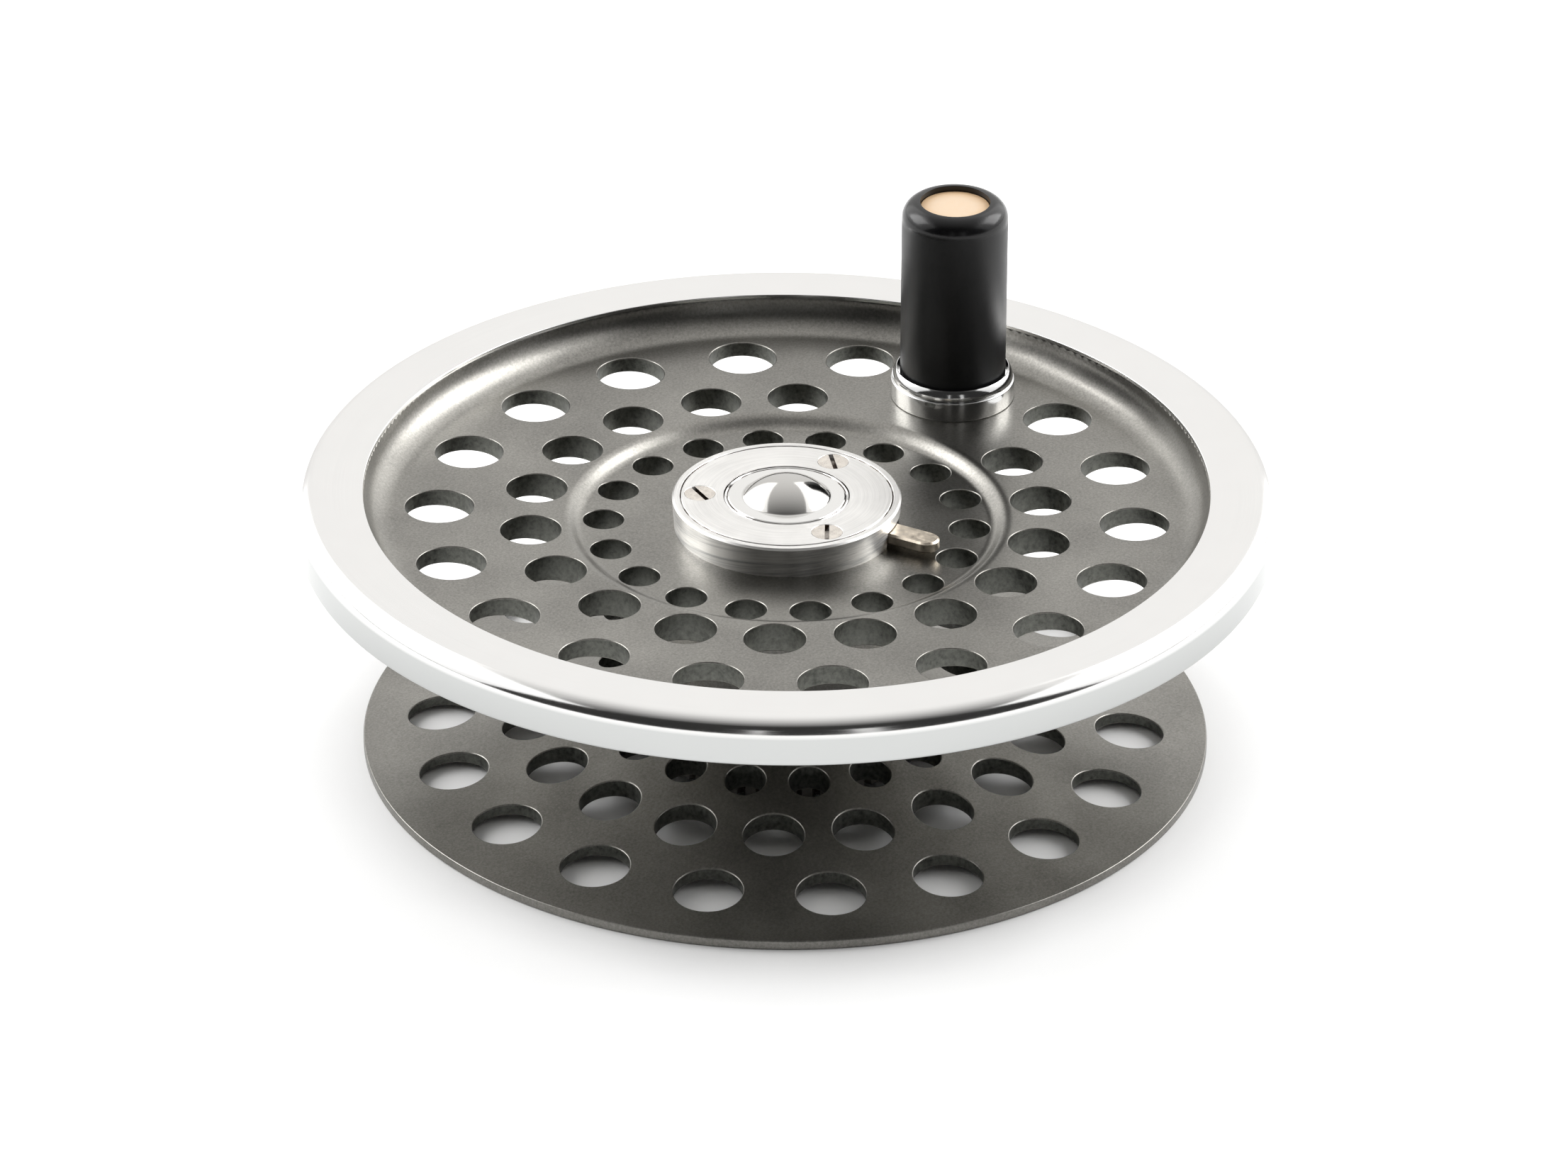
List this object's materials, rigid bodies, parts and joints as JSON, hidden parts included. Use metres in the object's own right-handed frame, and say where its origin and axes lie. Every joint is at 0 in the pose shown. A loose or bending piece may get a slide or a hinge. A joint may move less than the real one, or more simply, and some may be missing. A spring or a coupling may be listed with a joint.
{
  "type": "fly reel spool",
  "caption": "Spool of a fly reel: perforated grey flanges, exposed polished rim, turning black handle and a lever latch in the hub.",
  "frame": {"origin": "on the spool's axis, in the plane of the back flange's edge that it stands on", "axes": "+Z along the spool's axis to the handle side; +X from the axis towards the handle"},
  "size_m": [0.092, 0.092, 0.0445],
  "materials": {
    "anodised": "fine matte warm-grey anodised aluminium",
    "rim": "polished aluminium",
    "cover": "satin turned top, brushed side",
    "dome": "mirror polished",
    "collar": "polished",
    "lever": "warm nickel silver, satin",
    "screws": "nickel plated, slotted heads",
    "steel": "plain ground steel",
    "gear": "blackened brass",
    "brass": "plain turned brass",
    "bronze": "plain bearing bronze",
    "washer": "white plastic washer",
    "grip": "satin black turned resin",
    "plug": "cream resin"
  },
  "bodies": {
    "spool": {"front_flange": "anodised", "back_flange": "anodised", "arbor": "anodised", "rim_ring": "rim", "spindle_sleeve": "brass", "front_bush": "bronze", "rear_bush": "bronze", "check_gear": "gear", "gear_screws": "screws", "hub_screws": "screws", "latch_cover": "cover", "dome_cap": "dome", "cover_screws": "screws", "latch_pin": "steel", "latch_washer": "bronze", "latch_spring": "steel", "handle_collar": "collar", "handle_post": "steel", "thrust_washer": "washer", "grip_washer": "steel", "grip_screw": "screws"},
    "latch": {"latch_lever": "lever"},
    "grip": {"handle_grip": "grip", "grip_liner": "brass", "grip_plug": "plug"}
  },
  "joints": [
    {"name": "handle_turn", "type": "hinge", "parent": "spool", "child": "grip", "pos_m": [0.02972, 0, 0.0338], "axis": [0, 0, 1], "continuous": true},
    {"name": "latch_swing", "type": "hinge", "parent": "spool", "child": "latch", "pos_m": [0.0013, 0.0073, 0.0238], "axis": [0, 0, 1], "range_deg": [0, 10.5], "stiffness_Nm_per_rad": 0.12, "springref_deg": -6.88, "deforming": ["latch_spring"]}
  ]
}
